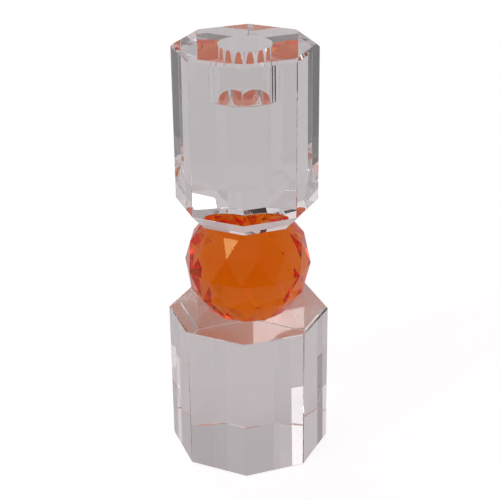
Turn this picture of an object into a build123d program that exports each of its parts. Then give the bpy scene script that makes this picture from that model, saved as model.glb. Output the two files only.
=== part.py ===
"""Cut-crystal candlestick: an octagonal base block, a faceted amber ball and an octagonal candle block,
stacked on one axis and bonded with two thin films of clear adhesive.

Frame: millimetres, +Z up, origin at the centre of the base's underside. One corner of each octagon points to -Y.
"""

import os
from math import cos, pi, radians, sin

from build123d import *

os.makedirs("parts", exist_ok=True)

# ---------------------------------------------------------------- driving dimensions
TOTAL_HEIGHT = 190.0

BOND = 0.15  # thickness of each adhesive film
BOND_MARGIN = 0.35  # the film stops this far inside the ball's ground flat

BASE_AF = 66.4  # base block, across flats
BASE_HEIGHT = 67.3
BASE_RIM_ARRIS = 0.45  # broken edge round the base block's top and bottom faces
BASE_ARRIS = 0.3  # broken edge along its eight uprights

BALL_D = 56.0  # sphere that the ball's facet corners lie on
BALL_HEIGHT = 46.2  # between the two ground flats
BALL_SIDES = 12  # facet corners in each ring
BALL_LATITUDES = (24.6, 50.0, 72.0)  # rings above and below the equator ring, degrees
BALL_YAW = -3.0  # the ball is bonded a little out of line with the blocks, degrees

BLOCK_AF = 57.4  # candle block, across flats
BLOCK_FOOT_AF = 45.4  # its underside, across flats
BLOCK_TAPER_H = 7.0  # height of the bevel that leads in to the underside
BLOCK_TOP_CHAMFER = 1.25  # polished chamfer round the top edge
BLOCK_ARRIS = 0.2  # broken edge along the eight uprights

SOCKET_D = 22.4  # blind bore for a standard 22 mm taper candle
SOCKET_DEPTH = 21.5
SOCKET_LIP = 0.4  # chamfer at the mouth of the bore
SOCKET_FILLET = 0.5  # radius where the bore's wall meets its flat bottom

# ---------------------------------------------------------------- derived heights
Z_BALL = BASE_HEIGHT + BOND
Z_BALL_TOP = Z_BALL + BALL_HEIGHT
Z_BLOCK = Z_BALL_TOP + BOND
BLOCK_HEIGHT = TOTAL_HEIGHT - Z_BLOCK
Z_CENTRE = Z_BALL + BALL_HEIGHT / 2
BALL_R = BALL_D / 2

SIDES = 8
TO_CORNER = 1 / cos(pi / SIDES)  # across-flats radius to corner radius


def corner_radius(across_flats):
    return across_flats / 2 * TO_CORNER


# ---------------------------------------------------------------- base block
with BuildPart() as base_block:
    with BuildSketch(Plane.XY):
        RegularPolygon(radius=corner_radius(BASE_AF), side_count=SIDES)
    extrude(amount=BASE_HEIGHT)
    chamfer(base_block.edges().filter_by(Axis.Z), length=BASE_ARRIS)
    ends = base_block.faces().sort_by(Axis.Z)
    chamfer(ends[0].edges() + ends[-1].edges(), length=BASE_RIM_ARRIS)

# ---------------------------------------------------------------- amber ball
# Rings of twelve corners, each ring turned half a step from its neighbours, joined by triangles.


def ball_ring(latitude, turned):
    r, z = BALL_R * cos(radians(latitude)), BALL_R * sin(radians(latitude))
    step = 360 / BALL_SIDES
    return [
        Vector(
            r * cos(radians(-90 + BALL_YAW + (i + turned / 2) * step)),
            r * sin(radians(-90 + BALL_YAW + (i + turned / 2) * step)),
            Z_CENTRE + z,
        )
        for i in range(BALL_SIDES)
    ]


low, mid, high = BALL_LATITUDES
rings = [
    ball_ring(-high, 1),
    ball_ring(-mid, 0),
    ball_ring(-low, 1),
    ball_ring(0, 0),
    ball_ring(low, 1),
    ball_ring(mid, 0),
    ball_ring(high, 1),
]
turned = [1, 0, 1, 0, 1, 0, 1]


def facet(*corners):
    return Face(Wire.make_polygon(corners, close=True))


facets = [facet(*reversed(rings[0])), facet(*rings[-1])]
for k in range(len(rings) - 1):
    lower, upper = rings[k], rings[k + 1]
    for i in range(BALL_SIDES):
        j = (i + 1) % BALL_SIDES
        if turned[k]:
            facets.append(facet(lower[i], upper[j], upper[i]))
            facets.append(facet(lower[i], lower[j], upper[j]))
        else:
            facets.append(facet(lower[i], lower[j], upper[i]))
            facets.append(facet(lower[j], upper[j], upper[i]))
whole_ball = Solid(Shell(facets))

with BuildPart() as amber_ball:
    add(whole_ball)
    # the two flats ground for bonding
    split(bisect_by=Plane.XY.offset(Z_BALL_TOP), keep=Keep.BOTTOM)
    split(bisect_by=Plane.XY.offset(Z_BALL), keep=Keep.TOP)

# the widest circle that fits inside a ground flat, less the margin
flat = amber_ball.faces().sort_by(Axis.Z)[0]
flat_inner_r = min(
    ((edge @ 0.5).X ** 2 + (edge @ 0.5).Y ** 2) ** 0.5 for edge in flat.edges()
)
BOND_R = flat_inner_r - BOND_MARGIN

# ---------------------------------------------------------------- adhesive films
with BuildPart() as base_bond:
    with BuildSketch(Plane.XY.offset(BASE_HEIGHT)):
        Circle(BOND_R)
    extrude(amount=BOND)

with BuildPart() as block_bond:
    with BuildSketch(Plane.XY.offset(Z_BALL_TOP)):
        Circle(BOND_R)
    extrude(amount=BOND)

# ---------------------------------------------------------------- candle block
with BuildPart() as candle_block:
    # underside and the bevel that widens to the full octagon
    with BuildSketch(Plane.XY.offset(Z_BLOCK)):
        RegularPolygon(radius=corner_radius(BLOCK_FOOT_AF), side_count=SIDES)
    with BuildSketch(Plane.XY.offset(Z_BLOCK + BLOCK_TAPER_H)):
        RegularPolygon(radius=corner_radius(BLOCK_AF), side_count=SIDES)
    loft(ruled=True)
    # upright faces
    with BuildSketch(Plane.XY.offset(Z_BLOCK + BLOCK_TAPER_H)):
        RegularPolygon(radius=corner_radius(BLOCK_AF), side_count=SIDES)
    extrude(amount=BLOCK_HEIGHT - BLOCK_TAPER_H)
    top_edges = candle_block.faces().sort_by(Axis.Z)[-1].outer_wire().edges()
    chamfer(top_edges, length=BLOCK_TOP_CHAMFER)
    uprights = candle_block.edges().filter_by(Axis.Z)
    chamfer(uprights, length=BLOCK_ARRIS)
    # blind bore for the candle, flat bottomed
    with Locations((0, 0, TOTAL_HEIGHT)):
        Hole(radius=SOCKET_D / 2, depth=SOCKET_DEPTH)
    mouth = candle_block.edges().filter_by(GeomType.CIRCLE).sort_by(Axis.Z)[-1]
    chamfer(mouth, length=SOCKET_LIP)
    corner = candle_block.edges().filter_by(GeomType.CIRCLE).sort_by(Axis.Z)[0]
    fillet(corner, radius=SOCKET_FILLET)

# ---------------------------------------------------------------- output
pieces = {
    "base_block": base_block,
    "base_bond": base_bond,
    "amber_ball": amber_ball,
    "block_bond": block_bond,
    "candle_block": candle_block,
}
for name, piece in pieces.items():
    piece.part.label = name
    export_step(piece.part, f"parts/{name}.step")
    box = piece.part.bounding_box()
    print(
        name,
        "solids",
        len(piece.part.solids()),
        "volume",
        round(piece.part.volume, 1),
        "x",
        round(box.min.X, 3),
        round(box.max.X, 3),
        "y",
        round(box.min.Y, 3),
        round(box.max.Y, 3),
        "z",
        round(box.min.Z, 3),
        round(box.max.Z, 3),
    )
print("bond radius", round(BOND_R, 3), "flat inner radius", round(flat_inner_r, 3))
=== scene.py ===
import math

import bmesh
import bpy
from mathutils import Matrix, Vector


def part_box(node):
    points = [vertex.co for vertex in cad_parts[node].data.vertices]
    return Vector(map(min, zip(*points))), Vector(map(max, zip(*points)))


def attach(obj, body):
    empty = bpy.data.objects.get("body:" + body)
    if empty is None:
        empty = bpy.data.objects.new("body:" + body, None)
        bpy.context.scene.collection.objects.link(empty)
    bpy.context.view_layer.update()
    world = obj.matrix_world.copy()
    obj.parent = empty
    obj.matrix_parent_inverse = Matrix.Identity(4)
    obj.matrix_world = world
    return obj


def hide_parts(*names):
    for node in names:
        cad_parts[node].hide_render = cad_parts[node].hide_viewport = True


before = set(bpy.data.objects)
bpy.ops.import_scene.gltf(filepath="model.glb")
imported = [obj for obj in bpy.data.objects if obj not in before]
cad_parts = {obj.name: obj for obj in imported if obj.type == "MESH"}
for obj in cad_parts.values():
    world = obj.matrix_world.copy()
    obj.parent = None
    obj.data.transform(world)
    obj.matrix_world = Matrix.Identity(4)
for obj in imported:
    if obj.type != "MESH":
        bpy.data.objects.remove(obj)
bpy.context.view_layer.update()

MM = 0.001


# ------------------------------------------------------------------ sizes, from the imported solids
def z_range(node):
    low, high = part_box(node)
    return low.z, high.z


Z_FLOOR, Z_BASE_TOP = z_range("base_block")
Z_BALL_LOW, Z_BALL_HIGH = z_range("amber_ball")
Z_FOOT, Z_TOP = z_range("candle_block")
BALL_MID = (Z_BALL_LOW + Z_BALL_HIGH) / 2
TO_CORNER = 1 / math.cos(math.pi / 8)

BASE_AF, BASE_RIM_ARRIS, BASE_ARRIS = 66.4 * MM, 0.45 * MM, 0.3 * MM
BLOCK_AF, FOOT_AF = 57.4 * MM, 45.4 * MM
TAPER_H, TOP_CHAMFER, BLOCK_ARRIS = 7.0 * MM, 1.25 * MM, 0.2 * MM
SOCKET_R, SOCKET_DEPTH, SOCKET_LIP, SOCKET_FILLET = 11.2 * MM, 21.5 * MM, 0.4 * MM, 0.5 * MM
BALL_R, BALL_SIDES, BALL_YAW = 28.0 * MM, 12, -3.0
BALL_LATITUDES = (24.6, 50.0, 72.0)
MENISCUS = 0.05 * MM
CONTACT = 0.010 * MM  # the visual films stop this far short of the crystals, so that no two faces coincide


# ------------------------------------------------------------------ small mesh helpers
def new_object(name, bm, materials):
    mesh = bpy.data.meshes.new(name)
    bm.normal_update()
    bm.to_mesh(mesh)
    bm.free()
    ob = bpy.data.objects.new(name, mesh)
    for m in materials:
        mesh.materials.append(m)
    bpy.context.scene.collection.objects.link(ob)
    return ob


def ring_at(bm, points, z):
    return [bm.verts.new((x, y, z)) for x, y in points]


def octagon(across_flats, arris=0.0, inset=0.0):
    """Outline anticlockwise from the corner at -Y. With an arris each corner is cut back by that length along both flats,
    and an inset moves the whole outline, cut corners included, inwards."""
    if arris <= 0:
        radius = (across_flats / 2 - inset) * TO_CORNER
        return [
            (radius * math.cos(math.radians(-90 + 45 * k)), radius * math.sin(math.radians(-90 + 45 * k)))
            for k in range(8)
        ]
    flat = across_flats / 2 - inset
    cut = across_flats / 2 * TO_CORNER - arris * math.sin(math.pi / 8) - inset
    step = (flat - cut * math.cos(math.pi / 8)) / math.sin(math.pi / 8)
    points = []
    for k in range(8):
        a = math.radians(-90 + 45 * k)
        out, along = Vector((math.cos(a), math.sin(a))), Vector((-math.sin(a), math.cos(a)))
        for side in (-1, 1):
            p = out * cut + along * side * step
            points.append((p.x, p.y))
    return points


def wall(bm, lower, upper, material=0):
    n = len(lower)
    for i in range(n):
        j = (i + 1) % n
        f = bm.faces.new((lower[i], lower[j], upper[j], upper[i]))
        f.material_index = material


def circle(radius, n, turn=0.0):
    return [
        (radius * math.cos(turn + 2 * math.pi * i / n), radius * math.sin(turn + 2 * math.pi * i / n))
        for i in range(n)
    ]


def plate_with_hole(bm, outer, inner, up, material=0):
    """Flat face between an outer outline and an inner one, with as many faces as keep it planar and clean."""
    edges = []
    for ring in (outer, inner):
        for i in range(len(ring)):
            e = bm.edges.get((ring[i], ring[(i + 1) % len(ring)])) or bm.edges.new(
                (ring[i], ring[(i + 1) % len(ring)])
            )
            edges.append(e)
    filled = bmesh.ops.triangle_fill(bm, use_beauty=True, use_dissolve=False, edges=edges)
    for f in filled["geom"]:
        if isinstance(f, bmesh.types.BMFace):
            f.material_index = material
            f.normal_update()
            if (f.normal.z > 0) != up:
                f.normal_flip()


def cap(bm, ring, up, material=0):
    f = bm.faces.new(ring if up else list(reversed(ring)))
    f.material_index = material
    return f


# ------------------------------------------------------------------ materials
def node(nt, kind, **inputs):
    n = nt.nodes.new(kind)
    for k, v in inputs.items():
        n.inputs[k.replace("_", " ")].default_value = v
    return n


IOR = 1.52


def crystal(name, tint, absorb, density, polish_scale, polish_height, seed, haze=0.02):
    """Polished cut crystal: clear, with the faint unevenness that a polishing wheel leaves, a haze that comes and goes over
    the surface, and a colour in the glass itself."""
    m = bpy.data.materials.new(name)
    m.use_nodes = True
    nt = m.node_tree
    nt.nodes.clear()
    out = nt.nodes.new("ShaderNodeOutputMaterial")
    p = nt.nodes.new("ShaderNodeBsdfPrincipled")
    p.inputs["Base Color"].default_value = (*tint, 1)
    p.inputs["Transmission Weight"].default_value = 1.0
    p.inputs["IOR"].default_value = IOR
    co = nt.nodes.new("ShaderNodeTexCoord")
    wheel = node(nt, "ShaderNodeTexNoise", Scale=polish_scale, Detail=2.0, Roughness=0.45)
    wheel.noise_dimensions = "4D"
    wheel.inputs["W"].default_value = seed
    bump = nt.nodes.new("ShaderNodeBump")
    bump.inputs["Strength"].default_value = 1.0
    bump.inputs["Distance"].default_value = polish_height
    nt.links.new(co.outputs["Object"], wheel.inputs["Vector"])
    film = node(nt, "ShaderNodeTexNoise", Scale=polish_scale * 2.3, Detail=4.0, Roughness=0.6)
    film.noise_dimensions = "4D"
    film.inputs["W"].default_value = seed + 20
    nt.links.new(co.outputs["Object"], film.inputs["Vector"])
    hazy = nt.nodes.new("ShaderNodeMapRange")
    hazy.inputs["From Min"].default_value = 0.45
    hazy.inputs["From Max"].default_value = 0.8
    hazy.inputs["To Max"].default_value = haze
    nt.links.new(film.outputs["Fac"], hazy.inputs["Value"])
    # the drilled wall of the bore keeps the drill's faint vertical marks
    drilled = node(nt, "ShaderNodeAttribute")
    drilled.attribute_name = "drilled"
    streak = node(nt, "ShaderNodeMapping", Scale=(1, 1, 0.02))
    nt.links.new(co.outputs["Object"], streak.inputs["Vector"])
    marks = node(nt, "ShaderNodeTexNoise", Scale=420.0, Detail=3.0, Roughness=0.6)
    nt.links.new(streak.outputs["Vector"], marks.inputs["Vector"])
    rough = nt.nodes.new("ShaderNodeMapRange")
    rough.inputs["From Min"].default_value = 0.35
    rough.inputs["From Max"].default_value = 0.75
    rough.inputs["To Max"].default_value = 0.12
    nt.links.new(marks.outputs["Fac"], rough.inputs["Value"])
    finish = nt.nodes.new("ShaderNodeMix")
    nt.links.new(drilled.outputs["Fac"], finish.inputs["Factor"])
    nt.links.new(hazy.outputs["Result"], finish.inputs["A"])
    nt.links.new(rough.outputs["Result"], finish.inputs["B"])
    nt.links.new(finish.outputs["Result"], p.inputs["Roughness"])
    nt.links.new(wheel.outputs["Fac"], bump.inputs["Height"])
    nt.links.new(bump.outputs["Normal"], p.inputs["Normal"])
    # a ground flat wetted by clear adhesive of the same index: light goes straight through it
    wetted = node(nt, "ShaderNodeAttribute")
    wetted.attribute_name = "bonded"
    through = nt.nodes.new("ShaderNodeBsdfTransparent")
    either = nt.nodes.new("ShaderNodeMixShader")
    nt.links.new(wetted.outputs["Fac"], either.inputs[0])
    nt.links.new(p.outputs["BSDF"], either.inputs[1])
    nt.links.new(through.outputs["BSDF"], either.inputs[2])
    nt.links.new(either.outputs[0], out.inputs["Surface"])
    vol = nt.nodes.new("ShaderNodeVolumeAbsorption")
    vol.inputs["Color"].default_value = (*absorb, 1)
    vol.inputs["Density"].default_value = density
    nt.links.new(vol.outputs["Volume"], out.inputs["Volume"])
    return m


def bonded(name):
    """The adhesive's two faces: same index as the crystal, so light goes straight through."""
    m = bpy.data.materials.new(name)
    m.use_nodes = True
    nt = m.node_tree
    nt.nodes.clear()
    out = nt.nodes.new("ShaderNodeOutputMaterial")
    t = nt.nodes.new("ShaderNodeBsdfTransparent")
    nt.links.new(t.outputs["BSDF"], out.inputs["Surface"])
    return m


CLEAR_ABSORB, CLEAR_DENSITY = (0.55, 0.50, 0.53), 1.2
BASE_ABSORB, BASE_DENSITY = (0.60, 0.48, 0.52), 1.6
AMBER_ABSORB, AMBER_DENSITY = (0.998, 0.845, 0.0), 150.0

clear_mat = crystal("clear_crystal", (1, 1, 1), CLEAR_ABSORB, CLEAR_DENSITY, 45, 1.2e-5, 1.0)
base_mat = crystal("base_crystal", (1, 1, 1), BASE_ABSORB, BASE_DENSITY, 45, 1.2e-5, 4.0)
amber_mat = crystal("amber_crystal", (1, 0.55, 0.2), AMBER_ABSORB, AMBER_DENSITY, 70, 1.2e-5, 7.0)
amber_mat.node_tree.nodes["Principled BSDF"].inputs["Specular Tint"].default_value = (1, 0.8, 0.35, 1)
film_rim = crystal("adhesive_rim", (0.98, 0.95, 0.92), (0.9, 0.85, 0.8), 5.0, 400, 2e-6, 9.0)
film_face = bonded("adhesive_face")


def crystal_object(name, bm, material):
    """One piece of crystal has one material, and two face attributes say where it is bonded and where drilled."""
    marks = [f.material_index for f in bm.faces]
    for f in bm.faces:
        f.material_index = 0
    ob = new_object(name, bm, [material])
    for attribute, index in (("bonded", 1), ("drilled", 2)):
        data = ob.data.attributes.new(attribute, "FLOAT", "FACE")
        data.data.foreach_set("value", [1.0 if k == index else 0.0 for k in marks])
    return ob


# ------------------------------------------------------------------ the ball
def ball_ring(latitude, turned):
    r, z = BALL_R * math.cos(math.radians(latitude)), BALL_R * math.sin(math.radians(latitude))
    step = 360 / BALL_SIDES
    return [
        Vector(
            (
                r * math.cos(math.radians(-90 + BALL_YAW + (i + turned / 2) * step)),
                r * math.sin(math.radians(-90 + BALL_YAW + (i + turned / 2) * step)),
                BALL_MID + z,
            )
        )
        for i in range(BALL_SIDES)
    ]


def build_ball():
    low, mid, high = BALL_LATITUDES
    rings = [
        ball_ring(-high, 1),
        ball_ring(-mid, 0),
        ball_ring(-low, 1),
        ball_ring(0, 0),
        ball_ring(low, 1),
        ball_ring(mid, 0),
        ball_ring(high, 1),
    ]
    turned = (1, 0, 1, 0, 1, 0, 1)
    bm = bmesh.new()
    v = [[bm.verts.new(p) for p in ring] for ring in rings]
    bm.faces.new(list(reversed(v[0])))
    bm.faces.new(v[-1])
    for k in range(6):
        a, b = v[k], v[k + 1]
        for i in range(BALL_SIDES):
            j = (i + 1) % BALL_SIDES
            if turned[k]:
                bm.faces.new((a[i], b[j], b[i]))
                bm.faces.new((a[i], a[j], b[j]))
            else:
                bm.faces.new((a[i], a[j], b[i]))
                bm.faces.new((a[j], b[j], b[i]))
    for z, up in ((Z_BALL_HIGH, True), (Z_BALL_LOW, False)):
        cut = bmesh.ops.bisect_plane(
            bm,
            geom=bm.verts[:] + bm.edges[:] + bm.faces[:],
            plane_co=(0, 0, z),
            plane_no=(0, 0, 1 if up else -1),
            clear_outer=True,
        )
        rim = [e for e in cut["geom_cut"] if isinstance(e, bmesh.types.BMEdge)]
        made = bmesh.ops.contextual_create(bm, geom=rim)
        for f in made["faces"]:
            f.normal_update()
            if (f.normal.z > 0) != up:
                f.normal_flip()
            f.material_index = 1
    bmesh.ops.recalc_face_normals(bm, faces=bm.faces[:])
    return crystal_object("amber_ball_cut", bm, amber_mat)


ball = build_ball()
flat_rim = sorted(
    ((v.co.x, v.co.y) for v in ball.data.vertices if abs(v.co.z - Z_BALL_HIGH) < 1e-6),
    key=lambda p: math.atan2(p[1], p[0]),
)
flat_rim_low = sorted(
    ((v.co.x, v.co.y) for v in ball.data.vertices if abs(v.co.z - Z_BALL_LOW) < 1e-6),
    key=lambda p: math.atan2(p[1], p[0]),
)


def grown(points, by):
    return [(x * (1 + by / math.hypot(x, y)), y * (1 + by / math.hypot(x, y))) for x, y in points]


# ------------------------------------------------------------------ the two octagonal blocks
EDGE = 0.15 * MM  # the edge break left by the last polish along the bevel's edges
LEAN = math.atan2((BLOCK_AF - FOOT_AF) / 2, TAPER_H)


def bore_outline():
    """Radius and height down the bore: chamfered lip, straight wall, small radius at the bottom."""
    yield SOCKET_R + SOCKET_LIP, Z_TOP
    yield SOCKET_R, Z_TOP - SOCKET_LIP
    low = Z_TOP - SOCKET_DEPTH + SOCKET_FILLET
    for k in range(6):
        a = math.radians(90 * k / 5)
        yield SOCKET_R - SOCKET_FILLET * (1 - math.cos(a)), low - SOCKET_FILLET * math.sin(a)


def build_candle_block():
    bm = bmesh.new()
    n = 192
    down, out = EDGE * math.cos(LEAN), EDGE * math.sin(LEAN)
    shoulder = Z_FOOT + TAPER_H
    outlines = (
        (octagon(FOOT_AF, BLOCK_ARRIS, EDGE), Z_FOOT),
        (octagon(FOOT_AF, BLOCK_ARRIS, -out), Z_FOOT + down),
        (octagon(BLOCK_AF, BLOCK_ARRIS, out), shoulder - down),
        (octagon(BLOCK_AF, BLOCK_ARRIS), shoulder + EDGE),
        (octagon(BLOCK_AF, BLOCK_ARRIS), Z_TOP - TOP_CHAMFER),
        (octagon(BLOCK_AF - 2 * TOP_CHAMFER, BLOCK_ARRIS), Z_TOP),
    )
    rings = [ring_at(bm, points, z) for points, z in outlines]
    for lower, upper in zip(rings, rings[1:]):
        wall(bm, lower, upper)
    bore = [ring_at(bm, circle(r, n), z) for r, z in bore_outline()]
    plate_with_hole(bm, rings[-1], bore[0], True)
    for a, b in zip(bore, bore[1:]):
        for i in range(n):
            j = (i + 1) % n
            f = bm.faces.new((a[i], a[j], b[j], b[i]))
            f.smooth = True
            f.material_index = 2
    for ring in (*bore[:3], bore[-1]):
        for i in range(n):
            bm.edges.get((ring[i], ring[(i + 1) % n])).smooth = False
    cap(bm, bore[-1], True)
    wet = ring_at(bm, grown(flat_rim, MENISCUS), Z_FOOT)
    plate_with_hole(bm, rings[0], wet, False)
    cap(bm, wet, False, 1)
    bmesh.ops.recalc_face_normals(bm, faces=bm.faces[:])
    return crystal_object("candle_block_cut", bm, clear_mat)


def build_base_block():
    bm = bmesh.new()
    c = BASE_RIM_ARRIS
    foot = ring_at(bm, octagon(BASE_AF, BASE_ARRIS, c), Z_FLOOR)
    low = ring_at(bm, octagon(BASE_AF, BASE_ARRIS), Z_FLOOR + c)
    high = ring_at(bm, octagon(BASE_AF, BASE_ARRIS), Z_BASE_TOP - c)
    top = ring_at(bm, octagon(BASE_AF, BASE_ARRIS, c), Z_BASE_TOP)
    cap(bm, foot, False)
    wall(bm, foot, low)
    wall(bm, low, high)
    wall(bm, high, top)
    wet = ring_at(bm, grown(flat_rim_low, MENISCUS), Z_BASE_TOP)
    plate_with_hole(bm, top, wet, True)
    cap(bm, wet, True, 1)
    bmesh.ops.recalc_face_normals(bm, faces=bm.faces[:])
    return crystal_object("base_block_cut", bm, base_mat)


def build_film(name, outline, z0, z1):
    bm = bmesh.new()
    a = ring_at(bm, outline, z0 + CONTACT)
    b = ring_at(bm, outline, z1 - CONTACT)
    wall(bm, a, b, 0)
    cap(bm, a, False, 1)
    cap(bm, b, True, 1)
    bmesh.ops.recalc_face_normals(bm, faces=bm.faces[:])
    return new_object(name, bm, [film_rim, film_face])


candle_block = build_candle_block()
base_block = build_base_block()
upper_film = build_film("block_bond_film", grown(flat_rim, 0.04 * MM), Z_BALL_HIGH, Z_FOOT)
lower_film = build_film("base_bond_film", grown(flat_rim_low, 0.04 * MM), Z_BASE_TOP, Z_BALL_LOW)

for piece, node_name, slot in (
    (candle_block, "candle_block", "clear_crystal"),
    (base_block, "base_block", "base_crystal"),
    (ball, "amber_ball", "amber_crystal"),
    (upper_film, "block_bond", "clear_adhesive"),
    (lower_film, "base_bond", "clear_adhesive"),
):
    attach(piece, "root")
    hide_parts(node_name)

# ------------------------------------------------------------------ stage
# Pale paper on a table whose front edge lies between the object and the camera, out of the picture.
PAPER_FRONT, PAPER_SLANT = -0.207, -0.111
PAPER, PAPER_SHOWN = 0.86, 0.5


def floor_material():
    """Paper that the glass sees at its true grey; straight from the camera it is exposed up to a pale sheet."""
    m = bpy.data.materials.new("studio_paper")
    m.use_nodes = True
    nt = m.node_tree
    nt.nodes.clear()
    out = nt.nodes.new("ShaderNodeOutputMaterial")
    paper = node(nt, "ShaderNodeBsdfDiffuse", Color=(PAPER, PAPER, PAPER, 1))
    shown = node(nt, "ShaderNodeBsdfDiffuse", Color=(PAPER_SHOWN, PAPER_SHOWN, PAPER_SHOWN, 1))
    lift = node(nt, "ShaderNodeEmission", Color=(1, 1, 1, 1), Strength=0.70)
    both = nt.nodes.new("ShaderNodeAddShader")
    path = nt.nodes.new("ShaderNodeLightPath")
    mix = nt.nodes.new("ShaderNodeMixShader")
    nt.links.new(shown.outputs[0], both.inputs[0])
    nt.links.new(lift.outputs[0], both.inputs[1])
    nt.links.new(path.outputs["Is Camera Ray"], mix.inputs[0])
    nt.links.new(paper.outputs[0], mix.inputs[1])
    nt.links.new(both.outputs[0], mix.inputs[2])
    nt.links.new(mix.outputs[0], out.inputs["Surface"])
    return m


bm = bmesh.new()
z = Z_FLOOR - 0.02 * MM
corners = [bm.verts.new(p) for p in (
    (-1.2, PAPER_FRONT - 1.2 * PAPER_SLANT, z), (1.2, PAPER_FRONT + 1.2 * PAPER_SLANT, z), (6, 0, z), (6, 6, z), (-6, 6, z), (-6, 0, z))]
bm.faces.new(corners)
floor = new_object("studio_floor", bm, [floor_material()])

# A dark table mat on the right, out of the picture, which shows as the brown streaks in the bore's right edge.
bm = bmesh.new()
bm.faces.new([bm.verts.new(p) for p in ((0.42, 0.16, z + 0.001), (0.62, 0.19, z + 0.001), (0.60, 0.34, z + 0.001), (0.44, 0.30, z + 0.001))])
mat_brown = bpy.data.materials.new("studio_mat")
mat_brown.use_nodes = True
mat_brown.node_tree.nodes["Principled BSDF"].inputs["Base Color"].default_value = (0.10, 0.06, 0.05, 1)
mat_brown.node_tree.nodes["Principled BSDF"].inputs["Roughness"].default_value = 0.8
table_mat = new_object("studio_table_mat", bm, [mat_brown])

scene = bpy.context.scene
# Brightness of the studio's walls and ceiling: one row for each elevation, one value every 45 degrees,
# from the back round by the left, the front and the right. Doubled by the background's strength.
WALL_ELEVATIONS = (4, 16, 35, 60)
WALLS = (
    (0.270, 0.245, 0.280, 0.285, 0.200, 0.160, 0.190, 0.205),
    (0.270, 0.290, 0.330, 0.385, 0.230, 0.160, 0.215, 0.245),
    (0.215, 0.270, 0.340, 0.425, 0.270, 0.145, 0.225, 0.205),
    (0.290, 0.310, 0.365, 0.415, 0.300, 0.290, 0.275, 0.260),
)
WALL_TINT = (1.04, 0.97, 0.99)
BELOW = (0.06, 0.06, 0.06)
SHOWN = (0.495, 0.495, 0.495)

world = bpy.data.worlds.new("studio_light")
scene.world = world
world.use_nodes = True
wt = world.node_tree
wt.nodes.clear()


def link(a, b):
    wt.links.new(a, b)


def maths(operation, a, b=None):
    n = wt.nodes.new("ShaderNodeMath")
    n.operation = operation
    for socket, value in zip(n.inputs, (a, b)):
        if value is None:
            continue
        if isinstance(value, (int, float)):
            socket.default_value = value
        else:
            link(value, socket)
    return n.outputs[0]


def blend(factor, a, b):
    n = wt.nodes.new("ShaderNodeMix")
    n.data_type = "RGBA"
    link(factor, n.inputs["Factor"])
    for socket, value in ((n.inputs["A"], a), (n.inputs["B"], b)):
        if isinstance(value, tuple):
            socket.default_value = (*value, 1)
        else:
            link(value, socket)
    return n.outputs["Result"]


def span(value, low, high):
    n = wt.nodes.new("ShaderNodeMapRange")
    link(value, n.inputs["Value"])
    n.inputs["From Min"].default_value = low
    n.inputs["From Max"].default_value = high
    return n.outputs["Result"]


where = wt.nodes.new("ShaderNodeTexCoord")
axes = wt.nodes.new("ShaderNodeSeparateXYZ")
link(where.outputs["Generated"], axes.inputs[0])
around = maths("ARCTAN2", axes.outputs["X"], maths("MULTIPLY", axes.outputs["Y"], -1.0))
around = maths("ADD", maths("DIVIDE", around, 2 * math.pi), 0.5)
elevation = maths("MULTIPLY", maths("ARCSINE", axes.outputs["Z"]), 180 / math.pi)
rows = []
for k, row in enumerate(WALLS):
    ramp = wt.nodes.new("ShaderNodeValToRGB")
    ramp.name = "wall_%d" % k
    while len(ramp.color_ramp.elements) < 9:
        ramp.color_ramp.elements.new(0.5)
    for i in range(9):
        ramp.color_ramp.elements[i].position = i / 8
        ramp.color_ramp.elements[i].color = (*(row[i % 8] * t for t in WALL_TINT), 1)
    link(around, ramp.inputs[0])
    rows.append(ramp.outputs["Color"])
colour = rows[0]
for k in range(3):
    colour = blend(span(elevation, WALL_ELEVATIONS[k], WALL_ELEVATIONS[k + 1]), colour, rows[k + 1])
colour = blend(span(elevation, -0.6, -0.4), BELOW, colour)
below_mix = wt.nodes[-1]
below_mix.name = "below_mix"
sight = wt.nodes.new("ShaderNodeLightPath")
colour = blend(sight.outputs["Is Camera Ray"], colour, SHOWN)
bg = wt.nodes.new("ShaderNodeBackground")
link(colour, bg.inputs["Color"])
bg.inputs["Strength"].default_value = 2.0
world_out = wt.nodes.new("ShaderNodeOutputWorld")
link(bg.outputs[0], world_out.inputs["Surface"])


def softbox(name, azimuths, elevations, distance, radiance, colour=(1, 1, 1)):
    """Rectangular softbox aimed at the object, from one azimuth and elevation to another. Azimuth 0 is the front, positive
    to the right."""
    azimuth, elevation = sum(azimuths) / 2, sum(elevations) / 2
    a, e = math.radians(azimuth), math.radians(elevation)
    place = Vector((math.sin(a) * math.cos(e), -math.cos(a) * math.cos(e), math.sin(e))) * distance
    place.z += 0.09
    width = 2 * distance * math.cos(e) * math.tan(math.radians(azimuths[1] - azimuths[0]) / 2)
    height = 2 * distance * math.tan(math.radians(elevations[1] - elevations[0]) / 2)
    data = bpy.data.lights.new(name, "AREA")
    data.shape = "RECTANGLE"
    data.size, data.size_y = width, height
    data.energy = radiance * width * height * math.pi
    data.color = colour
    ob = bpy.data.objects.new(name, data)
    aim = Vector((0, 0, 0.09)) - place
    ob.matrix_world = Matrix.Translation(place) @ aim.to_track_quat("-Z", "Y").to_matrix().to_4x4()
    scene.collection.objects.link(ob)
    return ob


softbox("key", (-50.5, -45.0), (26, 43), 20.0, 2.9)
softbox("key_high", (-52, -47.0), (43, 49.5), 20.0, 5.6)
softbox("fill_left", (-38, -22), (19, 31), 20.0, 0.9)
softbox("back_left", (-165, -135), (48, 72), 20.0, 0.9)
softbox("low_back_right", (157.6, 162), (0.5, 6.5), 20.0, 1.2)


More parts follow.
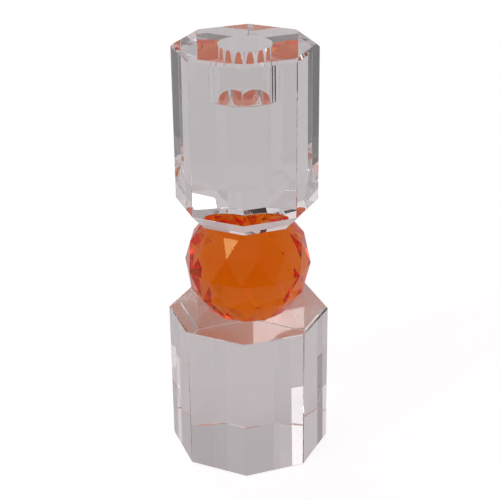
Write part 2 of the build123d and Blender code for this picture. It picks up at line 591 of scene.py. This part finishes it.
def black_flag(name, azimuths, elevations, distance=5.0):
    """Narrow dark card high up round the set. It puts the dark lines into the crystal's bevels."""
    bm = bmesh.new()
    steps = 8
    rims = []
    for e in elevations:
        e = math.radians(e)
        rim = []
        for i in range(steps + 1):
            a = math.radians(azimuths[0] + (azimuths[1] - azimuths[0]) * i / steps)
            rim.append(bm.verts.new(
                (distance * math.sin(a) * math.cos(e), -distance * math.cos(a) * math.cos(e), distance * math.sin(e) + 0.12)))
        rims.append(rim)
    for i in range(steps):
        bm.faces.new((rims[0][i], rims[0][i + 1], rims[1][i + 1], rims[1][i]))
    card = new_object(name, bm, [flag_mat])


flag_mat = bpy.data.materials.new("studio_dark_card")
flag_mat.use_nodes = True
flag_mat.node_tree.nodes["Principled BSDF"].inputs["Base Color"].default_value = (0.16, 0.155, 0.16, 1)
flag_mat.node_tree.nodes["Principled BSDF"].inputs["Roughness"].default_value = 0.9
black_flag("studio_flag_overhead", (-14, 58), (67.3, 71))
black_flag("studio_flag_right", (120, 150), (39.5, 43.5))
black_flag("studio_flag_left", (-150, -127), (35.0, 39.0))
black_flag("studio_flag_front", (-20.5, -13), (34.5, 38.5))

# ------------------------------------------------------------------ camera
CAM_DISTANCE, CAM_HEIGHT = 546.054 * MM, 352.804 * MM
CAM_PITCH, CAM_ROLL, CAM_PAN, CAM_ORBIT = (
    math.radians(25.2249),
    math.radians(-0.7142),
    math.radians(0.1116),
    math.radians(2.9257),
)
forward = Vector(
    (
        math.sin(CAM_PAN) * math.cos(CAM_PITCH),
        math.cos(CAM_PAN) * math.cos(CAM_PITCH),
        -math.sin(CAM_PITCH),
    )
)
right = Vector((math.cos(CAM_PAN), -math.sin(CAM_PAN), 0))
up = right.cross(forward)
c, s = math.cos(CAM_ROLL), math.sin(CAM_ROLL)
right, up = c * right + s * up, -s * right + c * up
turn = Matrix.Rotation(CAM_ORBIT, 3, "Z")
right, up, forward = turn @ right, turn @ up, turn @ forward
place = turn @ Vector((0, -CAM_DISTANCE, CAM_HEIGHT))
cam_data = bpy.data.cameras.new("camera")
cam_data.sensor_width = 36
cam_data.lens = 1361.9 * 36 / 500
cam_data.clip_start = 0.01
cam_data.clip_end = 50
cam = bpy.data.objects.new("camera", cam_data)
cam.matrix_world = Matrix(
    (
        (right.x, up.x, -forward.x, place.x),
        (right.y, up.y, -forward.y, place.y),
        (right.z, up.z, -forward.z, place.z),
        (0, 0, 0, 1),
    )
)
scene.collection.objects.link(cam)
scene.camera = cam

# how the light is followed through the glass, and how it is shown
scene.view_settings.view_transform = "Standard"
scene.view_settings.look = "None"
scene.cycles.max_bounces = 32
scene.cycles.transmission_bounces = 32
scene.cycles.glossy_bounces = 32
scene.cycles.diffuse_bounces = 3
scene.cycles.transparent_max_bounces = 32
scene.cycles.caustics_refractive = True
scene.cycles.caustics_reflective = True
scene.cycles.blur_glossy = 0.0
